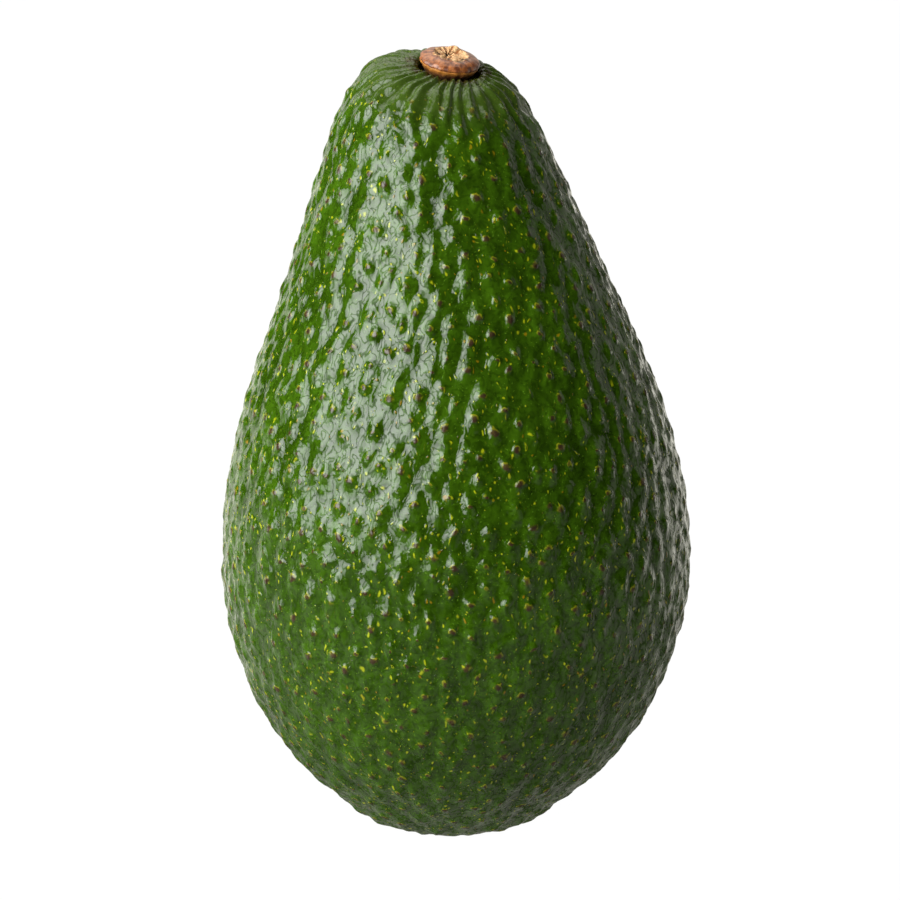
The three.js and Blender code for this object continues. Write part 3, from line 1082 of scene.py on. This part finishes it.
@dataclass(frozen=True)
class StemFinish:
    """Dried stalk wood, broken off by hand and skinned over.

    The bun is polished bark with a soft broken shine, the broken end a dry pale scar with painted brown
    shade in the grooves of its folds and painted shade in its pit and holes, the joint an amber seam, and
    the underside dark and dull.
    """

    bark_dark: str = "#56280f"
    bark_light: str = "#a8632f"
    scar_pale: str = "#d2a878"
    scar_deep: str = "#a2622c"
    # Painted shade: brown laid into the grooves of the scar's folds.
    fold_groove_shade: str = "#7a3f14"
    # Painted shade laid into the pit and the holes of the scar.
    pit_and_hole_shade: str = "#2c1608"
    seam_amber: str = "#b0752c"
    under_dark: str = "#2a180c"
    under_light: str = "#6b4526"

    # Wood fibres are some 0.03 wide, so the grain is drawn coarser, at about 0.5, to show at all. It runs
    # out from the middle.
    grain_size: float = 0.45
    grain_length: float = 1.14
    grain_reach: float = 3.465
    grain_detail: float = 4.0
    mottle_cloud: Cloud = Cloud(0.71, 4.0)
    mottle_share: float = 0.5
    bark_ramp: Ramp = Ramp(0.38, 0.66)
    scar_ramp: Ramp = Ramp(0.35, 0.5)
    under_ramp: Ramp = Ramp(0.4, 0.65)
    fold_strength: float = 0.55
    grain_height: float = 0.084
    mottle_height: float = 0.06
    # Dry wood has an index of about 1.5. Handling polishes the bark in patches, and the scar not at all.
    wood_index: float = 1.5
    roughness: float = 0.38
    scar_roughness: float = 0.6
    polish: float = 0.45
    polish_ramp: Ramp = Ramp(0.4, 0.6, 0.25, 1.0)
    polish_roughness: float = 0.28

    def build(self) -> bpy.types.Material:
        """Makes the material.

        Returns:
            The wood of the stem button.
        """
        shader = Shader("dried_stalk_wood")
        add = shader.add
        place = add("TexCoord", output="Object")
        spot = add("VectorMath", place, inputs={"Scale": 1 / MM}, operation="SCALE")
        radial = add("Attribute", output="Vector", attribute_name="radial")
        scar, seam, under, hole_shade, fold = (
            add("Attribute", output="Fac", attribute_name=name)
            for name in ("scar", "seam", "under", "hole_shade", "fold")
        )
        grain = add("TexNoise", inputs={"Vector": radial, "Scale": 1.0, "Detail": self.grain_detail})
        mottle = add("TexNoise", inputs={"Vector": spot} | self.mottle_cloud.settings)
        mixed = add("Mix", inputs={FACTOR: self.mottle_share, NUMBER_A: grain, NUMBER_B: mottle})
        tones = []
        for ramp, dark, light in (
            (self.bark_ramp, self.bark_dark, self.bark_light),
            (self.scar_ramp, self.scar_deep, self.scar_pale),
            (self.under_ramp, self.under_dark, self.under_light),
        ):
            share = add("MapRange", mixed, *ramp, **EASED)
            inputs = {FACTOR: share, COLOUR_A: linear(dark), COLOUR_B: linear(light)}
            tones.append(add("Mix", inputs=inputs, **COLOURS))
        colour, pale, dull = tones
        # Painted shade in the grooves of the folds.
        fold_share = add("Math", fold, self.fold_strength, operation="MULTIPLY")
        folded = {FACTOR: fold_share, COLOUR_A: pale, COLOUR_B: linear(self.fold_groove_shade)}
        pale = add("Mix", inputs=folded, **COLOURS)
        for share, layer in (
            (scar, pale),
            (under, dull),
            (seam, linear(self.seam_amber)),
            # Painted shade in the pit and the holes.
            (hole_shade, linear(self.pit_and_hole_shade)),
        ):
            colour = add("Mix", inputs={FACTOR: share, COLOUR_A: colour, COLOUR_B: layer}, **COLOURS)

        raised = add("Math", grain, self.grain_height, operation="MULTIPLY")
        height = add("Math", mottle, self.mottle_height, raised, operation="MULTIPLY_ADD")
        dry = add("Math", scar, under, operation="MAXIMUM")
        polish = add("MapRange", dry, 0.0, 1.0, self.polish, 0.0)
        worn = add("MapRange", mottle, *self.polish_ramp, **EASED)
        inputs = {
            "Base Color": colour,
            "Roughness": add("MapRange", dry, 0.0, 1.0, self.roughness, self.scar_roughness),
            "IOR": self.wood_index,
            "Normal": add("Bump", inputs={"Height": height, "Distance": MM, "Strength": 1.0}),
            "Coat Weight": add("Math", polish, worn, operation="MULTIPLY"),
            "Coat Roughness": self.polish_roughness,
        }
        add("OutputMaterial", add("BsdfPrincipled", inputs=inputs))
        return shader.material


# ---- The fruit ----


@dataclass(frozen=True)
class Fruit:
    """The fruit as one fine mesh: the bare body with pleats, pebbles and medium relief raised from it."""

    body: FruitBody = FruitBody()
    pleats: Pleats = Pleats()
    nodules: Nodules = Nodules()
    relief: Relief = Relief()
    finish: SkinFinish = SkinFinish()
    # Points of the mesh, closer together round the hollow. Places on the flat foot run from -1, its
    # middle, to 0, its edge.
    points: int = 97000
    crown_density: float = 2.5
    crown_reach: Ramp = Ramp(18.0, 2.7)
    foot_start: float = -0.95
    foot_steps: int = 40
    end_margin: float = 0.01
    lowest_skin: float = 0.03
    # What the finish is told: where the rim and the whole hollow are painted brown and dark, the stem
    # end's own browning with painted shade, and how deep skin counts as a hollow that gets painted shade.
    rim_reach: Ramp = Ramp(1.6, -0.3)
    rim_fray: float = 0.8
    rim_grain: Grain = Grain(1.2, 3.3)
    hollow_reach: Ramp = Ramp(-0.02, 0.3)

    def spiral(self) -> tuple[Array, Array, Array]:
        """Sets out points over the foot and the skin, closer together round the hollow.

        Returns:
            Place and angle of each point, and its way from the foot counted in radii.
        """
        sizes = self.body.measures()
        foot = np.linspace(self.foot_start, 0, self.foot_steps + 1)[:-1]
        foot_radius = sizes["radius"][0]
        place = np.concatenate([foot, sizes["place"]])
        radius = np.concatenate([foot_radius * (1 + foot), sizes["radius"]])
        way = np.concatenate([foot_radius * foot, sizes["way"]])
        rim_way = np.interp(self.body.rim_place, sizes["place"], sizes["way"])
        middle_radius = (radius[1:] + radius[:-1]) / 2
        middle_way = (way[1:] + way[:-1]) / 2
        weight = 1 + self.crown_density * smooth(rim_way - middle_way, *self.crown_reach)
        steps = np.diff(way)
        share = running_total(middle_radius * steps * weight)
        radii = running_total(steps / middle_radius)
        item = np.arange(self.points)
        wanted = np.interp((item + 0.5) / self.points * share[-1], share, place)
        return wanted, item * GOLDEN_ANGLE, np.interp(wanted, place, radii)

    @staticmethod
    def join(radii: Array, angle: Array) -> Faces:
        """Joins points to their neighbours on a flat map, with the hollow's floor in the middle of it.

        Args:
            radii: Way of each point from the foot, counted in radii of the fruit there.
            angle: Angle of each point round the fruit.

        Returns:
            Triangles as triples of point numbers, where one number past the last is the middle of the map,
            and one face that closes the foot.
        """
        reach = np.exp(radii.max() - radii)
        flat = np.stack([reach * np.cos(angle), reach * np.sin(angle)], -1)
        spots = [Vector(spot) for spot in flat.tolist()] + [Vector((0, 0))]
        _, _, triangles, sources, *_ = delaunay_2d_cdt(spots, [], [], 0, SAME_SPOT, True)
        number = [ids[0] for ids in sources]
        faces = [tuple(number[corner] for corner in triangle) for triangle in triangles]
        inner = {(face[i - 1], face[i]) for face in faces for i in range(3)}
        edge = {end: start for start, end in inner if (end, start) not in inner}
        loop = [next(iter(edge))]
        while edge[loop[-1]] != loop[0]:
            loop.append(edge[loop[-1]])
        return [*faces, tuple(loop)]

    def survey(self, place: Array, angle: Array) -> Survey:
        """Finds the points of the bare body, down to the middle of its flat foot.

        Args:
            place: Places along the fruit, negative on the foot.
            angle: Angles round it, in radians.

        Returns:
            The points, and one more in the middle of the hollow's floor.
        """
        body, sizes = self.body, self.body.measures()
        place, angle = np.append(place, body.last_place), np.append(angle, 0)
        on_foot, on_body = place < 0, np.maximum(place, 0)
        spots = body.points(on_body, angle)
        spots[on_foot] *= (1 + place[on_foot])[:, None]
        spots[-1] = body.knots()[-1, 2:]
        inner_place = np.clip(on_body, self.end_margin, body.last_place - self.end_margin)
        along, around, outward = body.directions(inner_place, angle)
        way = np.interp(on_body, sizes["place"], sizes["way"])
        radius = np.interp(on_body, sizes["place"], sizes["radius"])
        out_of_rim = np.interp(body.rim_place, sizes["place"], sizes["way"]) - way
        return Survey(spots, along, around, outward, angle, radius, way, out_of_rim, on_foot)

    def shape(self) -> tuple[Array, dict[str, Array], Faces]:
        """Works out the skin.

        Returns:
            Points, attributes for the finish, and faces.
        """
        place, angle, radii = self.spiral()
        here = self.survey(place, angle)
        vigour = self.nodules.vigour(here)
        near = self.nodules.nearest(self.relief.swayed(here.spots), here, self.body)
        pebbled = self.relief.rise(here, near, vigour)
        rise = pebbled + self.pleats.relief(here)
        rise[here.on_foot] = 0
        skin = inside(here.spots + here.outward * rise[:, None], "fruit")
        skin[:, 2] = np.where(here.on_foot, 0, np.maximum(skin[:, 2], self.lowest_skin))

        turn = self.finish.strand_reach / self.finish.strand_size
        strands = (
            turn * np.cos(here.angle),
            turn * np.sin(here.angle),
            here.way / self.finish.strand_length,
        )
        frayed_way = here.out_of_rim + self.rim_fray * rough(here.spots, *self.rim_grain)
        values = self.nodules.tip_values(near, vigour) | {
            "pleated": self.pleats.share(here.out_of_rim),
            "vigour": vigour,
            # The rim and everything inside it, painted brown and dark by the finish: browning with painted
            # shade.
            "rim": smooth(frayed_way, *self.rim_reach),
            # Low places of the relief, which the finish paints darker as shade.
            "hollow": smooth(-rise, *self.hollow_reach) * vigour,
            "radial": np.stack(strands, -1),
        }
        return skin, values, self.join(radii, angle)

    def build(self) -> bpy.types.Object:
        """Makes and dresses the fruit.

        Returns:
            The fruit's mesh object.
        """
        skin, values, faces = self.shape()
        piece = make_object("avocado_skin", skin, faces, values)
        piece.data.materials.append(self.finish.build())
        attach(piece, BODY)
        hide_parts("fruit")
        return piece


# ---- The button ----


class Mark(NamedTuple):
    """A small mound or dent of the button's scar."""

    x: float
    y: float
    height: float
    width: float


@dataclass(frozen=True)
class StemButton:
    """The dried stalk end: a bun-shaped cap with a sunken, folded scar, over a tapering underside.

    Each outline point is radius and height over the seam between the cap and the underside.
    """

    body: FruitBody = FruitBody()
    finish: StemFinish = StemFinish()
    seat: float = 1.1
    # A little narrower than the solid, with room for what stands out from it, and with a flatter scar.
    outline: tuple[tuple[float, float], ...] = (
        (0, -3.2),
        (1.43, -3.15),
        (2.29, -2.85),
        (2.86, -2.1),
        (3.34, -1.25),
        (3.8, -0.5),
        (4.01, -0.12),
        (3.9, 0),
        (4.11, 0.16),
        (4.05, 0.42),
        (3.77, 0.7),
        (3.25, 0.94),
        (2.72, 1.08),
        (2.29, 1.12),
        (1.96, 0.98),
        (1.53, 0.9),
        (1.1, 0.88),
        (0.59, 0.86),
        (0, 0.86),
    )
    rows: int = 190
    segments: int = 300
    # Rows of the outline where the top begins, the seam runs and the underside ends.
    top_rows: Ramp = Ramp(8.5, 10.0)
    seam_row: float = 6.0
    seam_width: float = 0.95
    seam_sway: float = 0.35
    seam_grain: Grain = Grain(1.4, 7.3)
    seam_strength: float = 0.8
    under_rows: Ramp = Ramp(5.8, 4.0)

    # The scar: a frayed edge with a raised lip, crumbs and fibres all over it.
    scar_edge: Ramp = Ramp(2.5, 2.25)
    scar_fray: float = 0.22
    scar_grain: Grain = Grain(0.9, 2.2)
    crumb_height: float = 0.07
    crumb_grain: Grain = Grain(0.55, 6.4)
    fibre_height: float = 0.03
    fibre_grain: Grain = Grain(0.22, 1.4)
    lip_radius: float = 2.4
    lip_width: float = 0.16
    lip_height: float = 0.07
    # The pit in it, with folds that run out from its middle.
    pit_centre: tuple[float, float] = (-0.45, 0.75)
    pit_reach: Ramp = Ramp(1.0, 0.2)
    pit_depth: float = 0.5
    # Where the pit is painted dark as shade.
    pit_shade: Ramp = Ramp(0.75, 0.4)
    fold_count: int = 9
    fold_height: float = 0.13
    fold_sway: float = 0.12
    fold_twist: float = 1.3
    fold_grain: Grain = Grain(1.2, 8.1)
    fold_start: Ramp = Ramp(0.0, 0.5)
    fold_inside: Ramp = Ramp(0.15, 0.6)
    fold_outside: Ramp = Ramp(2.0, 1.1)
    # Where the grooves of the folds are painted brown as shade.
    fold_shade: Ramp = Ramp(-0.3, 0.8)
    # Holes round the scar, and the stub of a torn fibre at its back.
    marks: tuple[Mark, ...] = (
        Mark(-0.5, -1.2, -0.6, 0.34),
        Mark(0.0, -1.4, -0.45, 0.25),
        Mark(1.1, -1.7, -0.6, 0.32),
        Mark(1.95, -0.6, -0.4, 0.36),
        Mark(-1.6, 0.4, -0.25, 0.32),
        Mark(0.55, 2.35, 0.42, 0.5),
    )
    # How far the holes are painted dark as shade, and how strong that painted shade is.
    mark_shade: Ramp = Ramp(0.06, 0.24)
    shade_strength: float = 0.9
    # Flutes of the underside, and shallow dents all round that leave the middle alone.
    flute_count: int = 19
    flute_height: float = 0.05
    flute_grain: Grain = Grain(2.0, 4.4)
    dent_height: float = 0.11
    dent_grain: Grain = Grain(1.1, 9.6)
    dent_reach: Ramp = Ramp(1.5, 3.0)
    calm_radius: float = 1.0

    def turned(self) -> tuple[Array, Array, Array]:
        """Turns the outline, with one point at either end.

        Returns:
            Row, angle, and flat points with their height over the seam.
        """
        outline = np.array(self.outline, float)
        last = len(outline) - 1
        place = np.linspace(0, last, self.rows + 1)[1:-1]
        profile = curve_through(outline, place)
        turns = np.arange(self.segments) / self.segments * TURN
        radius = np.concatenate([[0], np.repeat(profile[:, 0], self.segments), [0]])
        bottom, top = outline[0, 1], outline[-1, 1]
        level = np.concatenate([[bottom], np.repeat(profile[:, 1], self.segments), [top]])
        row = np.concatenate([[0], np.repeat(place, self.segments), [last]])
        angle = np.concatenate([[0], np.tile(turns, len(place)), [0]])
        return row, angle, np.stack([radius * np.cos(angle), radius * np.sin(angle), level], -1)

    def shape(self) -> tuple[Array, dict[str, Array]]:
        """Works out the button's surface.

        Returns:
            Points and attributes for the finish.
        """
        row, angle, flat = self.turned()
        x, y, level = flat.T
        radius = np.hypot(x, y)
        top = smooth(row, *self.top_rows)
        ragged = rough(flat, *self.scar_grain)
        scar = smooth(radius + self.scar_fray * ragged, *self.scar_edge) * top

        pit_x, pit_y = x - self.pit_centre[0], y - self.pit_centre[1]
        from_pit = np.hypot(pit_x, pit_y)
        twist = self.fold_twist * rough(flat, *self.fold_grain)
        folds = np.cos(self.fold_count * np.arctan2(pit_y, pit_x) + twist)
        swayed = from_pit + self.fold_sway * folds * smooth(from_pit, *self.fold_start)
        folded = smooth(from_pit, *self.fold_inside) * smooth(from_pit, *self.fold_outside) * scar
        marks = top * sum(
            mark.height * np.exp(-((x - mark.x) ** 2 + (y - mark.y) ** 2) / (2 * mark.width**2))
            for mark in self.marks
        )
        crumbs = self.crumb_height * rough(flat, *self.crumb_grain)
        fibres = self.fibre_height * rough(flat, *self.fibre_grain)
        lip = np.exp(-(((radius - self.lip_radius) / self.lip_width) ** 2)) * top
        rise = self.fold_height * folds * folded - self.pit_depth * smooth(swayed, *self.pit_reach) * top
        rise = rise + marks + scar * (crumbs + fibres)
        rise = rise + self.lip_height * lip * (1 + ragged)

        flutes = np.cos(self.flute_count * angle + rough(flat, *self.flute_grain))
        out = (1 - top) * self.flute_height * flutes
        out += self.dent_height * rough(flat, *self.dent_grain) * smooth(radius, *self.dent_reach)
        widen = 1 + out / np.maximum(radius, self.calm_radius)
        local = np.stack([x * widen, y * widen, level + rise + self.seat], -1)
        spots = inside(local @ self.body.crown_turn(1).T + self.body.crown_centre, "stem_button")

        seam = (row - self.seam_row + self.seam_sway * rough(flat, *self.seam_grain)) / self.seam_width
        # Painted shade: the pit and the holes are darkened in colour.
        pit = smooth(from_pit + self.fold_sway * folds, *self.pit_shade) * top
        shade = pit + smooth(-marks, *self.mark_shade)
        turn = self.finish.grain_reach / self.finish.grain_size
        fibre_ways = (turn * np.cos(angle), turn * np.sin(angle), radius / self.finish.grain_length)
        values = {
            "scar": scar,
            "seam": self.seam_strength * np.exp(-(seam**2)),
            "under": smooth(row, *self.under_rows),
            # Grooves of the folds, which the finish paints brown as shade.
            "fold": smooth(-folds, *self.fold_shade) * folded,
            # The pit and the holes, which the finish paints dark as shade.
            "hole_shade": self.shade_strength * np.clip(shade, 0, 1),
            "radial": np.stack(fibre_ways, -1),
        }
        return spots, values

    def faces(self) -> Faces:
        """Lists the faces of the turned shape.

        Returns:
            Corners of each face, facing out.
        """
        count, rings = self.segments, self.rows - 1
        grid = 1 + np.arange(rings * count).reshape(rings, count)
        after = np.roll(grid, -1, axis=1)
        quads = np.stack([grid[:-1], after[:-1], after[1:], grid[1:]], -1).reshape(-1, 4)
        bottom = [(0, int(b), int(a)) for a, b in zip(grid[0], after[0])]
        last = 1 + rings * count
        top = [(last, int(a), int(b)) for a, b in zip(grid[-1], after[-1])]
        return bottom + [tuple(quad) for quad in quads.tolist()] + top

    def build(self) -> bpy.types.Object:
        """Makes and dresses the button.

        Returns:
            The button's mesh object.
        """
        spots, values = self.shape()
        piece = make_object("stem_wood", spots, self.faces(), values)
        piece.data.materials.append(self.finish.build())
        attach(piece, BODY)
        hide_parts("stem_button")
        return piece


# ---- The studio ----


class Sees(Enum):
    """Which rays meet a card of the studio."""

    CAMERA = ("camera",)
    GLOSSY = ("glossy",)
    DIFFUSE = ("diffuse",)
    LIGHT = ("glossy", "diffuse")


@dataclass(frozen=True)
class Lamp:
    """A soft box, brightest in its middle.

    Azimuth is counted from the front to the right. Lengths are in metres.
    """

    name: str
    azimuth: float
    elevation: float
    distance: float
    size: tuple[float, float]
    radiance: float
    edge_radiance: float
    colour: str = "#fffcf4"
    seen_by: Sees = Sees.LIGHT


@dataclass(frozen=True)
class Studio:
    """A white table top in a pale room, lit from the left front. Distances are in metres."""

    fruit_middle: tuple[float, float, float] = (0, 0, 0.055)
    floor_size: float = 3.0
    floor_colour: str = "#383838"
    floor_glow: float = 0.98
    bounce_glow: float = 0.53
    room_radius: float = 4.0
    room_sides: tuple[int, int] = (32, 16)
    room_glow: float = 1.0
    ambient: float = 0.01
    # Each lamp: azimuth, elevation, distance, size, radiance in the middle and at the edge, colour.
    lamps: tuple[Lamp, ...] = (
        Lamp("main_softbox", -51, 27, 0.62, (0.78, 0.78), 9.2, 3.7, "#fbfdfb"),
        Lamp("ceiling_softbox", -165, 66, 0.9, (0.85, 0.85), 2.4, 1.6),
        Lamp("back_softbox", 180, 22, 0.95, (0.9, 1.0), 0.8, 0.75, "#fffaf0"),
        Lamp("left_rim_strip", -146, 12, 0.9, (0.36, 0.95), 1.2, 1.0),
        Lamp("right_side_panel", 136, 8, 0.9, (0.6, 0.9), 0.48, 0.4, "#fffaf0"),
        Lamp("left_fill", -92, -5, 0.9, (0.9, 0.9), 2.8, 2.8, seen_by=Sees.DIFFUSE),
        Lamp("right_wall", 108, 12, 0.85, (0.5, 0.8), 0.46, 0.4, "#fffaf0"),
    )
    # Where a lamp stops being brightest and where it has faded, as shares of its size from its middle.
    lamp_falloff: tuple[float, float] = (0.1, 0.6)

    # What the skin mirrors of the table: a pale patch round the fruit, brightest behind it.
    sheen_height: float = 0.001
    sheen_colour: str = "#fcf9ec"
    near_sheen: Ramp = Ramp(0.09, 0.18, 0.31, 0.0)
    far_way: tuple[float, float, float] = (-0.1, 0.99, 0.0)
    far_sheen: Ramp = Ramp(0.0, 0.14, 0.0, 1.05)
    left_sheen: Ramp = Ramp(-0.02, -0.08, 0.0, 0.3)
    right_sheen: Ramp = Ramp(0.05, 0.12, 0.0, 0.3)

    @staticmethod
    def put_up(name: str, material: bpy.types.Material, seen_by: Sees) -> bpy.types.Object:
        """Finishes the piece that was just added and limits which rays meet it.

        Args:
            name: Name of the piece.
            material: Its material.
            seen_by: Which rays meet it.

        Returns:
            The piece.
        """
        piece = bpy.context.object
        piece.name = name
        piece.data.materials.append(material)
        piece.visible_camera = "camera" in seen_by.value
        piece.visible_glossy = "glossy" in seen_by.value
        piece.visible_diffuse = "diffuse" in seen_by.value
        piece.visible_shadow = False
        piece.visible_transmission = False
        piece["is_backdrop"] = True
        return piece

    @staticmethod
    def plain(name: str, colour: str, glow: float) -> bpy.types.Material:
        """Makes a plain finish: matt paint that also glows, which keeps a backdrop even.

        Args:
            name: Name of the material.
            colour: Colour as hex.
            glow: Radiance that it gives off.

        Returns:
            The material.
        """
        shader = Shader(name)
        inputs = {
            "Base Color": linear(colour),
            "Roughness": 1.0,
            "Specular IOR Level": 0.0,
            "Emission Color": linear("#ffffff"),
            "Emission Strength": glow,
        }
        shader.add("OutputMaterial", shader.add("BsdfPrincipled", inputs=inputs))
        return shader.material

    def diffuser(self, lamp: Lamp) -> bpy.types.Material:
        """Makes the cloth of a soft box: white diffuser that glows most in its middle, on its front only.

        Args:
            lamp: The soft box.

        Returns:
            The material.
        """
        shader = Shader(lamp.name + "_cloth")
        add = shader.add
        middle = add("VectorMath", add("TexCoord", output="Object"), output="Value", operation="LENGTH")
        radiance = add("MapRange", middle, *self.lamp_falloff, lamp.radiance, lamp.edge_radiance, **EASED)
        lit = add("Emission", linear(lamp.colour), radiance)
        dark = add("Emission", inputs={"Strength": 0.0})
        behind = add("NewGeometry", output="Backfacing")
        add("OutputMaterial", add("MixShader", behind, lit, dark))
        return shader.material

    def sheen(self) -> bpy.types.Material:
        """Makes the white table as the skin mirrors it: bright where the lamps reach it.

        Returns:
            The material.
        """
        shader = Shader("table_sheen")
        add = shader.add
        place = add("TexCoord", output="Object")
        away = add("VectorMath", place, output="Value", operation="LENGTH")
        behind = add("VectorMath", place, self.far_way, output="Value", operation="DOT_PRODUCT")
        across = add("SeparateXYZ", place, output=0)
        glow = add("MapRange", away, *self.near_sheen, **EASED)
        for value, ramp in (
            (behind, self.far_sheen),
            (across, self.left_sheen),
            (across, self.right_sheen),
        ):
            glow = add("Math", glow, add("MapRange", value, *ramp, **EASED), operation="ADD")
        add("OutputMaterial", add("Emission", linear(self.sheen_colour), glow))
        return shader.material

    def place_lamp(self, lamp: Lamp) -> None:
        """Puts up a soft box that faces the fruit.

        Args:
            lamp: The soft box.
        """
        azimuth, elevation = math.radians(lamp.azimuth), math.radians(lamp.elevation)
        level = math.cos(elevation)
        way = Vector((math.sin(azimuth) * level, -math.cos(azimuth) * level, math.sin(elevation)))
        bpy.ops.mesh.primitive_plane_add(size=1, location=Vector(self.fruit_middle) + way * lamp.distance)
        box = self.put_up(lamp.name, self.diffuser(lamp), lamp.seen_by)
        box.scale = (*lamp.size, 1)
        box.rotation_euler = (-way).to_track_quat("Z", "Y").to_euler()

    def build(self) -> None:
        """Builds the table, the room, the lamps and the faint light of the room itself."""
        tables = (
            ("table_top", self.plain("white_table", self.floor_colour, self.floor_glow), Sees.CAMERA, 0.0),
            ("table_bounce", self.plain("table_bounce", "#000000", self.bounce_glow), Sees.DIFFUSE, 0.0),
            ("table_sheen", self.sheen(), Sees.GLOSSY, self.sheen_height),
        )
        for name, material, seen_by, height in tables:
            bpy.ops.mesh.primitive_plane_add(size=self.floor_size, location=(0, 0, height))
            self.put_up(name, material, seen_by)
        segments, rings = self.room_sides
        bpy.ops.mesh.primitive_uv_sphere_add(radius=self.room_radius, segments=segments, ring_count=rings)
        self.put_up("pale_room", self.plain("pale_room", "#000000", self.room_glow), Sees.CAMERA)
        for lamp in self.lamps:
            self.place_lamp(lamp)
        world = bpy.data.worlds.new("room_light")
        world.use_nodes = True
        world.node_tree.nodes["Background"].inputs["Color"].default_value = (self.ambient,) * 3 + (1,)
        bpy.context.scene.world = world
        bpy.context.scene.view_settings.view_transform = "Standard"


@dataclass(frozen=True)
class Viewpoint:
    """A camera at a distance from a point, looking slightly down. Lengths are in millimetres."""

    look_at: tuple[float, float, float] = (-0.28, 0, 54.7)
    elevation: float = 15
    distance: float = 520
    view_width: float = 125.55
    sensor_width: float = 36
    nearest: float = 10

    def build(self) -> None:
        """Places the camera."""
        camera = bpy.data.cameras.new("camera")
        camera.sensor_width = self.sensor_width
        camera.lens = self.sensor_width * self.distance / self.view_width
        camera.clip_start = self.nearest * MM
        camera.dof.use_dof = False
        holder = bpy.data.objects.new("camera", camera)
        tilt = math.radians(self.elevation)
        way = Vector((0, -math.cos(tilt), math.sin(tilt)))
        holder.location = (Vector(self.look_at) + way * self.distance) * MM
        holder.rotation_euler = (-way).to_track_quat("-Z", "Y").to_euler()
        bpy.context.scene.collection.objects.link(holder)
        bpy.context.scene.camera = holder


def main() -> None:
    """Builds the pieces, the studio and the camera, and works out the sizes of the imported solids and of
    the dressed pieces.
    """
    for maker in (Fruit(), StemButton()):
        piece = maker.build()
        size = ", ".join(f"{length / MM:.1f}" for length in piece.dimensions)
        log.info("%s: %d faces, %s mm", piece.name, len(piece.data.polygons), size)
    Studio().build()
    Viewpoint().build()
    sizes = {"cad": cad_box, "dressed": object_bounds()}
    plain = {name: [list(corner) for corner in box] for name, box in sizes.items()}


if __name__ == "__main__":
    logging.basicConfig(level=logging.INFO, format="%(message)s")
    main()
